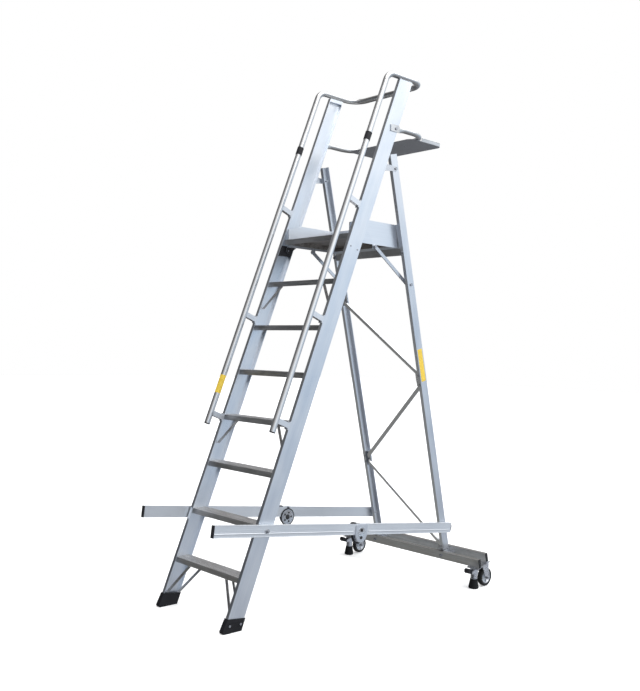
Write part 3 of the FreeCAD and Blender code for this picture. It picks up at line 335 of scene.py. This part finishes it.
def spin(bm, profile, centre, axis, steps):
    """A solid of revolution from a closed outline of (distance along the axis, radius) points in mm."""
    first = axis.orthogonal().normalized()
    second = axis.normalized().cross(first)
    rings = []
    for step in range(steps):
        angle = 2 * math.pi * step / steps
        out = first * math.cos(angle) + second * math.sin(angle)
        rings.append([bm.verts.new(centre + (axis * along + out * radius) * MM)
                      for along, radius in profile])
    for ring, following in zip(rings, rings[1:] + rings[:1]):
        for index in range(len(profile)):
            other = (index + 1) % len(profile)
            bm.faces.new((ring[index], ring[other], following[other], following[index]))
    bmesh.ops.remove_doubles(bm, verts=bm.verts, dist=1e-6)
    bmesh.ops.dissolve_degenerate(bm, edges=bm.edges, dist=1e-6)


def arc(radius, start, end, steps, centre=(0, 0)):
    """Points round an arc, as (u, v) pairs in millimetres; the angles are in degrees."""
    angles = [math.radians(start + (end - start) * step / steps) for step in range(steps + 1)]
    return [(centre[0] + radius * math.cos(a), centre[1] + radius * math.sin(a)) for a in angles]


def hexagon(bm, centre, axis, flats, high):
    """A hexagon bolt head with a chamfered crown, on a washer."""
    radius = flats / math.sqrt(3)
    spin(bm, [(0, 0), (0, radius * 1.35), (1.4, radius * 1.35), (1.4, 0)], centre, axis, 32)
    spin(bm, [(1.4, 0), (1.4, radius), (high - 0.8, radius), (high, radius * 0.86), (high, 0)],
         centre, axis, 6)


def piece(name, bm, body, finish, stands_for=(), bevel=0.0):
    """Turn a bmesh into a named object that rides a CAD body."""
    bmesh.ops.recalc_face_normals(bm, faces=bm.faces)
    mesh = bpy.data.meshes.new(name)
    bm.to_mesh(mesh)
    bm.free()
    mesh.shade_smooth()
    mesh.set_sharp_from_angle(angle=math.radians(35))
    thing = bpy.data.objects.new(name, mesh)
    bpy.context.scene.collection.objects.link(thing)
    if bevel:
        soften(thing, bevel)
    paint(thing, MATERIALS[finish])
    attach(thing, body)
    if stands_for:
        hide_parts(*stands_for)


# ---------------------------------------------------------------- castors

def castor_wheel(side_name, side):
    """A hub with a dished, ribbed web on each face, and a tyre with round shoulders."""
    centre = JOINT_AT["wheel_spin_" + side_name]
    half = 15

    bm = bmesh.new()
    shoulder = arc(7, 0, 90, 6, (half - 7, 47))
    crown = [(half, 41), *shoulder, *[(-u, v) for u, v in reversed(shoulder)], (-half, 41),
             (-half + 2, 39), (half - 2, 39)]
    spin(bm, crown, centre, ACROSS, 72)
    piece("tyre_round_" + side_name, bm, "wheel_" + side_name, "tyre", ["tyre_" + side_name])

    bm = bmesh.new()
    rim = [(13, 39), (13, 35), (5, 31), (4, 17), (15, 14), (17, 12), (17, 5.05)]
    spin(bm, rim + [(-u, v) for u, v in reversed(rim)], centre, ACROSS, 72)
    for face in (-1, 1):
        for spoke in range(5):
            angle = 2 * math.pi * spoke / 5
            out = Vector((0, math.cos(angle), math.sin(angle)))
            aside = ACROSS.cross(out)
            low, high = ACROSS * (face * 3 * MM), ACROSS * (face * 9 * MM)
            outline = [centre + low + (out * reach + aside * width) * MM
                       for reach, width in ((13, -3), (34, -2), (34, 2), (13, 3))]
            extrude(bm, outline, high - low)
    piece("hub_dished_" + side_name, bm, "wheel_" + side_name, "hub", ["hub_" + side_name], 0.5)

    bm = bmesh.new()
    outer_face, inner_face = 26, 24
    hexagon(bm, centre + ACROSS * (side * outer_face * MM), ACROSS * side, 14, 6)
    hexagon(bm, centre - ACROSS * (side * inner_face * MM), ACROSS * -side, 14, 6)
    piece("axle_heads_" + side_name, bm, "rear_frame", "bolt")


def pedal_pad(side_name):
    """The floor lock's pedal as a thick moulded pad with a rounded toe."""
    pivot = JOINT_AT["pedal_tilt_" + side_name]
    pad_width, rib_width = 31, 26
    bm = bmesh.new()
    toe = arc(9, 60, 180, 8, (-32, 17))
    shape = [(-41, 8), (-34, -1), (-8, -8), (7, -7), (8, 0), (6, 6), (-2, 14)] + toe
    extrude(bm, [pivot + Vector((-pad_width / 2, u, v)) * MM for u, v in shape],
            ACROSS * (pad_width * MM))
    for rib in range(4):
        back, high = -27 + 6 * rib, 25 - 3 * rib
        outline = [pivot + Vector((-rib_width / 2, back + u, high + v)) * MM
                   for u, v in ((0, -2), (3, -3), (3, 0.2), (0, 1.4))]
        extrude(bm, outline, ACROSS * (rib_width * MM))
    piece("pedal_pad_" + side_name, bm, "pedal_" + side_name, "plastic",
          ["lock_pedal_" + side_name], 1.0)


# ---------------------------------------------------------------- folding side bars

def bar_spot(along, aside, x):
    """A point on the right-hand bar: along it from the stile's pin, square to it, and across."""
    return Vector((x * MM, BAR_PIN.y, BAR_PIN.z)) + (ALONG_BAR * along + SQUARE_TO_BAR * aside) * MM


def flipped(point, side):
    """A point of the right-hand side, or its mirror image when side is -1."""
    return Vector((side * point.x, point.y, point.z))


def mirrored(points, side):
    return [flipped(point, side) for point in points]


def bar_beads(side_name, side):
    """Three rolled beads along each half of the bar's outer face."""
    runs = {"front_bar_": (-321, KNUCKLE_ALONG - 60), "rear_bar_": (KNUCKLE_ALONG + 60, BAR_REAR_END - 1)}
    for bar, (start, end) in runs.items():
        bm = bmesh.new()
        for aside, width, proud in ((-12, 3.2, 1.4), (28.2, 1.8, 0.9), (-28.2, 1.8, 0.9)):
            bead = [bar_spot(start, aside + v * width / proud, BAR_OUTER + u)
                    for u, v in arc(proud, 90, -90, 6)]
            extrude(bm, mirrored(bead, side), ALONG_BAR * ((end - start) * MM))
        piece("%sbeads_%s" % (bar, side_name), bm, bar + side_name, "bar")


def rear_bar_cap(side_name, side):
    """A thin plate over the bar's rear end, with a block in its middle."""
    bm = bmesh.new()
    for tall, far in ((30, 1.5), (14, 7)):
        corners = [bar_spot(BAR_REAR_END, v, x) for x, v in
                   ((BAR_INNER, -tall), (BAR_OUTER, -tall), (BAR_OUTER, tall), (BAR_INNER, tall))]
        extrude(bm, mirrored(corners, side), ALONG_BAR * (far * MM))
    piece("rear_bar_cap_" + side_name, bm, "rear_bar_" + side_name, "plastic", bevel=0.5)


def knuckle_outline(lower, corner, wide, high):
    """A half round below and two round corners above, as (along, aside) pairs from the knuckle's pin."""
    return (arc(lower, 180, 360, 24, (0, 4)) + arc(corner, 0, 90, 6, (wide, high))
            + arc(corner, 90, 180, 6, (-wide, high)))


def knuckle_cover(side_name, side):
    """The knuckle's outer cover in two steps, with its bolts, its round boss and its latch."""
    body, outward = "front_bar_" + side_name, ACROSS * side

    bm = bmesh.new()
    for outline, proud, thick in ((knuckle_outline(45, 14, 31, 48), 0.4, 3),
                                  (knuckle_outline(41, 11, 30, 46), 3.4, 1.2)):
        shape = [bar_spot(KNUCKLE_ALONG + u, KNUCKLE_ASIDE + v, BAR_OUTER + proud) for u, v in outline]
        extrude(bm, mirrored(shape, side), outward * (thick * MM))
    piece("knuckle_cover_" + side_name, bm, body, "cast", ["knuckle_plate_" + side_name], 0.9)

    bm = bmesh.new()
    for aside in (-14, 26):
        spot = bar_spot(KNUCKLE_ALONG, KNUCKLE_ASIDE + aside, BAR_OUTER + 4.6)
        hexagon(bm, flipped(spot, side), outward, 12, 6)
    # The bolt heads are painted near black as shade.
    piece("knuckle_bolts_" + side_name, bm, body, "recess_shade")

    bm = bmesh.new()
    spot = bar_spot(KNUCKLE_ALONG, KNUCKLE_ASIDE + 14, BAR_OUTER + 4.4)
    spin(bm, [(0, 0), (0, 29), (1.0, 28.5), (1.4, 27), (0.8, 25), (0.8, 0)], flipped(spot, side), outward, 56)
    piece("knuckle_boss_" + side_name, bm, body, "hub")

    bm = bmesh.new()
    tab = [bar_spot(KNUCKLE_ALONG + u, 30 + v, BAR_INNER + 2) for u, v in
           ((-74, 0), (-40, 0), (-40, 4), (-46, 7), (-70, 7), (-74, 5))]
    extrude(bm, mirrored(tab, side), outward * (15 * MM))
    piece("knuckle_latch_" + side_name, bm, body, "plastic", bevel=1.0)


def knuckle_inside(side_name, side):
    """The dished disc on the knuckle's inner face, with a hub bolt and a ring of studs."""
    body, inward = "rear_bar_" + side_name, ACROSS * -side
    knuckle = JOINT_AT["bar_fold_" + side_name]

    bm = bmesh.new()
    hub = Vector((side * (BAR_INNER - 3.2) * MM, knuckle.y, knuckle.z))
    spin(bm, [(0, 16), (0.2, 16), (1.2, 40), (1.6, 43), (1.2, 45), (0, 45)], hub, inward, 64)
    face = Vector((side * (BAR_INNER - 0.3) * MM, knuckle.y, knuckle.z))
    spin(bm, [(0, 12), (0, 40), (0.2, 40), (0.2, 12)], face, ACROSS * side, 64)
    piece("knuckle_dish_" + side_name, bm, body, "zinc")

    bm = bmesh.new()
    hexagon(bm, hub, inward, 17, 3.6)
    for stud in range(5):
        angle = 2 * math.pi * stud / 5
        out = Vector((0, math.cos(angle), math.sin(angle)))
        spin(bm, [(0, 0), (0, 6.5), (1.6, 6), (2, 4), (2, 0)], hub + out * (27 * MM), inward, 20)
    # The hub bolt and studs are painted near black as shade.
    piece("knuckle_studs_" + side_name, bm, body, "recess_shade")


def bar_pin_head(side_name, side):
    """The hexagon head of the bolt that the bar turns on, outside its collar."""
    collar_face = 320
    head = JOINT_AT["bar_lift_" + side_name]
    bm = bmesh.new()
    hexagon(bm, Vector((side * collar_face * MM, head.y, head.z)), ACROSS * side, 13, 6)
    piece("bar_pin_head_" + side_name, bm, "ladder", "bolt")


# ---------------------------------------------------------------- labels, rivets and small fixings

def on_leg(x, deep, along):
    """A point from its place across, its depth behind the legs' front face and its place along them."""
    behind = Vector((0, math.sin(PROP), math.cos(PROP)))
    return Vector((x, LEG_FOOT, 0)) * MM + (behind * deep + ALONG_LEG * along) * MM


def on_stile(x, deep, along):
    """The same for the stiles."""
    behind = Vector((0, math.sin(CLIMB), -math.cos(CLIMB)))
    return Vector((x, -DATUM, 0)) * MM + (behind * deep + ALONG_STILE * along) * MM


def labels():
    """Plain yellow films: one on the right leg's outer web, one wrapped round the left handrail."""
    bm = bmesh.new()
    low, high, front, rear, cut = 1240, 1432, 7, 45, 2
    corners = [(front, low + cut), (front + cut, low), (rear - cut, low), (rear, low + cut),
               (rear, high - cut), (rear - cut, high), (front + cut, high), (front, high - cut)]
    extrude(bm, [on_leg(LEG_WEB, deep, along) for deep, along in corners], ACROSS * (0.25 * MM))
    piece("leg_label", bm, "rear_frame", "label")

    bm = bmesh.new()
    inner, outer, length = 15.9, 16.25, 104
    spin(bm, [(0, inner), (0, outer), (length, outer), (length, inner)],
         on_stile(-RAIL_ACROSS, -85.8, 1168), ALONG_STILE, 40)
    piece("handrail_label", bm, "ladder", "label")


def rivets():
    """Dome rivets on the stiles' webs by the platform, and under the tray."""
    tray_rivet_back, tray_floor = 1380, 2589.9
    dome = [(0, 0), (0, 5.5), (1.2, 5.0), (2.2, 3.2), (2.6, 0)]
    bm = bmesh.new()
    for side in SIDES.values():
        for back, high in ((777, 1929), (827, 1913)):
            spin(bm, dome, Vector((side * STILE_WEB, back - DATUM, high)) * MM, ACROSS * side, 20)
    for x in (-110, 110):
        spin(bm, dome, Vector((x, tray_rivet_back - DATUM, tray_floor)) * MM, -UP, 20)
    piece("rivets", bm, "ladder", "bolt")


def bracket_screws():
    """Two socket screws on the foot of each handrail bracket."""
    bracket_heights = (984, 1530, 2156)
    screw = [(0, 0), (0, 4.5), (3.5, 4.5), (4, 4), (4, 2.2), (2, 2.2), (2, 0)]
    forward = Vector((0, -math.sin(CLIMB), math.cos(CLIMB)))
    bm = bmesh.new()
    for side in SIDES.values():
        for high in bracket_heights:
            for apart in (-17, 17):
                spot = on_stile(side * RAIL_ACROSS, -8, high / math.sin(CLIMB) + apart)
                spin(bm, screw, spot, forward, 20)
    piece("bracket_screws", bm, "ladder", "bolt")


def frame_hex_bolts():
    """Hexagon bolts at the base tubes, the cross beam, the castor plates, the leg feet and the braces."""
    base_tube, cross_beam, castor_plate, leg_foot = 157.5, 2001, 132.5, 186
    brace_across = 272
    brace_ends = ((1, 1280), (-1, 1736), (-1, 726), (1, 1221), (1, 209), (-1, 688))
    forward = -Vector((0, math.sin(PROP), math.cos(PROP)))
    bm = bmesh.new()
    for side in SIDES.values():
        hexagon(bm, on_leg(side * LEG_FLANGE, -23, base_tube), forward, 12, 6)
        hexagon(bm, on_leg(side * LEG_FLANGE, -5, cross_beam), forward, 12, 6)
        for x in (492, 546):
            for deep in (10, 42):
                hexagon(bm, on_leg(side * x, deep, castor_plate), ALONG_LEG, 10, 5)
        for deep in (13, 39):
            hexagon(bm, on_leg(side * LEG_WEB, deep, leg_foot), ACROSS * side, 10, 5)
    for side, along in brace_ends:
        hexagon(bm, on_leg(side * brace_across, 0, along), forward, 9, 4)
    piece("frame_hex_bolts", bm, "rear_frame", "bolt")


def pivot_covers():
    """Dark moulded covers over the platform's pivot lugs."""
    washer, lug_face = 254.1, 250
    lug = [(-13, -4), (-8, -13), (8, -13), (60, 21), (-13, 21)]
    pivot = JOINT_AT["platform_tilt"]
    for side_name, side in SIDES.items():
        bm = bmesh.new()
        spin(bm, [(0, 6), (0, 13), (1.2, 12.5), (1.2, 6)], pivot + ACROSS * (side * washer * MM),
             ACROSS * side, 32)
        extrude(bm, [pivot + Vector((side * lug_face, u, v)) * MM for u, v in lug],
                ACROSS * (side * -0.8 * MM))
        piece("pivot_cover_" + side_name, bm, "platform", "plastic")


def tray_hem():
    """A rolled hem along the tray's lip."""
    half, rear, front, corner, top = 256, 1545, 1360, 39, 2608.9
    path = [(-half, front), (-half, rear - corner)]
    path += arc(corner, 180, 90, 8, (-half + corner, rear - corner))
    path += arc(corner, 90, 0, 8, (half - corner, rear - corner)) + [(half, front)]
    line = bpy.data.curves.new("tray_hem_line", "CURVE")
    line.dimensions = "3D"
    line.bevel_depth = 1.9 * MM
    line.bevel_resolution = 4
    line.use_fill_caps = True
    run = line.splines.new("POLY")
    run.points.add(len(path) - 1)
    for point, (x, back) in zip(run.points, path):
        point.co = (x * MM, (back - DATUM) * MM, top * MM, 1)
    hem = bpy.data.objects.new("tray_hem", line)
    bpy.context.scene.collection.objects.link(hem)
    # The hem takes the tray's painted shade too.
    hem.data.materials.append(MATERIALS["sheet"])
    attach(hem, "ladder")


def shoe_ribs():
    """Raised bands round the shoes' outer faces."""
    front, rear, rise, width = 2, 88, 33, 4
    bm = bmesh.new()
    for side in SIDES.values():
        for height in (16, 26, 36, 46):
            low = height / math.sin(CLIMB)
            outline = [on_stile(side * SHOE_FACE, deep, along) for deep, along in
                       ((front, low), (rear, low + rise), (rear, low + rise + width), (front, low + width))]
            extrude(bm, outline, ACROSS * (side * 1.2 * MM))
    piece("shoe_ribs", bm, "ladder", "rubber", bevel=0.4)


for side_name, side in SIDES.items():
    castor_wheel(side_name, side)
    pedal_pad(side_name)
    bar_beads(side_name, side)
    rear_bar_cap(side_name, side)
    knuckle_cover(side_name, side)
    knuckle_inside(side_name, side)
    bar_pin_head(side_name, side)
labels()
rivets()
bracket_screws()
frame_hex_bolts()
pivot_covers()
tray_hem()
shoe_ribs()


# ---------------------------------------------------------------- light, floor and camera

def studio_world():
    """Even studio surroundings: pale behind and to the right, darker in front and below."""
    world = bpy.data.worlds.new("studio")
    bpy.context.scene.world = world
    world.use_nodes = True
    tree = world.node_tree
    tree.nodes.clear()
    place = tree.nodes.new("ShaderNodeTexCoord").outputs["Generated"]

    def ramp(axis, stops):
        dot = tree.nodes.new("ShaderNodeVectorMath")
        dot.operation = "DOT_PRODUCT"
        dot.inputs[1].default_value = axis
        tree.links.new(place, dot.inputs[0])
        fit = tree.nodes.new("ShaderNodeMapRange")
        fit.inputs["From Min"].default_value = -1
        tree.links.new(dot.outputs["Value"], fit.inputs["Value"])
        node = tree.nodes.new("ShaderNodeValToRGB")
        while len(node.color_ramp.elements) < len(stops):
            node.color_ramp.elements.new(0.5)
        for element, (at, colour) in zip(node.color_ramp.elements, stops):
            element.position = (at + 1) / 2
            element.color = (*colour, 1)
        tree.links.new(fit.outputs["Result"], node.inputs["Fac"])
        return node.outputs["Color"]

    def blend(kind, first, second):
        node = tree.nodes.new("ShaderNodeMix")
        node.data_type = "RGBA"
        node.blend_type = kind
        node.inputs[0].default_value = 1
        tree.links.new(first, node.inputs[6])
        tree.links.new(second, node.inputs[7])
        return node.outputs[2]

    sideways = ramp((0.73, 0.68, 0), [(-1, (0.07, 0.07, 0.07)), (-0.75, (0.11, 0.11, 0.11)),
                                      (-0.3, (0.33, 0.32, 0.32)), (0.1, (0.62, 0.62, 0.63)),
                                      (0.55, (0.95, 0.98, 1.0)), (1, (1, 1, 1))])
    upwards = ramp((0, 0, 1), [(-1, (0.10, 0.095, 0.09)), (-0.4, (0.27, 0.275, 0.285)),
                               (-0.25, (0.38, 0.385, 0.415)), (-0.1, (0.36, 0.42, 0.49)),
                               (0.0, (0.41, 0.49, 0.585)), (0.11, (0.52, 0.61, 0.71)),
                               (0.17, (0.62, 0.69, 0.77)), (0.24, (0.82, 0.85, 0.88)),
                               (0.35, (1, 1, 1)), (1, (1, 1, 1))])
    front_floor = ramp((-0.61, -0.51, -0.61), [(-1, (0, 0, 0)), (0.82, (0, 0, 0)), (0.97, (0.2, 0.2, 0.19)),
                                               (1, (0.22, 0.22, 0.21))])
    total = blend("ADD", blend("MULTIPLY", sideways, upwards), front_floor)
    around = tree.nodes.new("ShaderNodeBackground")
    around.inputs["Strength"].default_value = 1.3
    tree.links.new(total, around.inputs["Color"])
    plain = tree.nodes.new("ShaderNodeBackground")
    plain.inputs["Color"].default_value = (1, 1, 1, 1)
    choose = tree.nodes.new("ShaderNodeMixShader")
    output = tree.nodes.new("ShaderNodeOutputWorld")
    tree.links.new(tree.nodes.new("ShaderNodeLightPath").outputs["Is Camera Ray"], choose.inputs[0])
    tree.links.new(around.outputs[0], choose.inputs[1])
    tree.links.new(plain.outputs[0], choose.inputs[2])
    tree.links.new(choose.outputs[0], output.inputs["Surface"])


def softbox(name, place, target, size, power):
    """A rectangular lamp that looks at a point."""
    data = bpy.data.lights.new(name, "AREA")
    data.shape = "RECTANGLE"
    data.size, data.size_y = size
    data.energy = power
    lamp = bpy.data.objects.new(name, data)
    bpy.context.scene.collection.objects.link(lamp)
    lamp.location = place
    lamp.rotation_euler = (Vector(target) - Vector(place)).to_track_quat("-Z", "Y").to_euler()


def floor_light(strength):
    """Soft light from straight above that whitens the floor and leaves no reflection."""
    data = bpy.data.lights.new("floor_light", "SUN")
    data.energy = strength
    data.angle = math.radians(110)
    lamp = bpy.data.objects.new("floor_light", data)
    bpy.context.scene.collection.objects.link(lamp)
    lamp.visible_glossy = False


def floor():
    """A wide, pale, matte plane just under the ladder's feet."""
    bm = bmesh.new()
    bmesh.ops.create_grid(bm, x_segments=8, y_segments=8, size=30)
    mesh = bpy.data.meshes.new("floor")
    bm.to_mesh(mesh)
    bm.free()
    ground = bpy.data.objects.new("floor", mesh)
    bpy.context.scene.collection.objects.link(ground)
    ground.location.z = -0.0005
    s = Shader("pale_floor", roughness=0.9, emission_color=(1, 1, 1, 1), emission_strength=0.16)
    s.surface.inputs["Specular IOR Level"].default_value = 0.05
    paint(ground, s.finish(base_color=s.ramp(s.noise(1.5), (0.3, (0.93, 0.93, 0.93)),
                                             (0.7, (0.95, 0.95, 0.95)))))
    ground.visible_glossy = False


def camera():
    """Stands in front and to the right, a little lower than half way up."""
    place = Vector((3.53638, -3.30193, 1.36271))
    yaw, pitch, roll = math.radians(46.82), math.radians(1.99), math.radians(1.70)
    forward = Vector((-math.sin(yaw) * math.cos(pitch), math.cos(yaw) * math.cos(pitch), -math.sin(pitch)))
    right = forward.cross(UP).normalized()
    up = right.cross(forward)
    rolled_right = right * math.cos(roll) + up * math.sin(roll)
    rolled_up = up * math.cos(roll) - right * math.sin(roll)
    data = bpy.data.cameras.new("camera")
    data.lens = 44.71
    data.sensor_width = 36
    data.shift_x = -0.0037
    data.shift_y = 0.0520
    data.clip_end = 200
    lens = bpy.data.objects.new("camera", data)
    bpy.context.scene.collection.objects.link(lens)
    turned = Matrix((rolled_right, rolled_up, -forward)).transposed().to_4x4()
    lens.matrix_world = Matrix.Translation(place) @ turned
    bpy.context.scene.camera = lens


studio_world()
softbox("overhead", (1.5, 1.0, 6.0), (0, 0, 1), (5, 5), 160)
floor_light(2.0)
floor()
camera()
bpy.context.scene.view_settings.view_transform = "Standard"
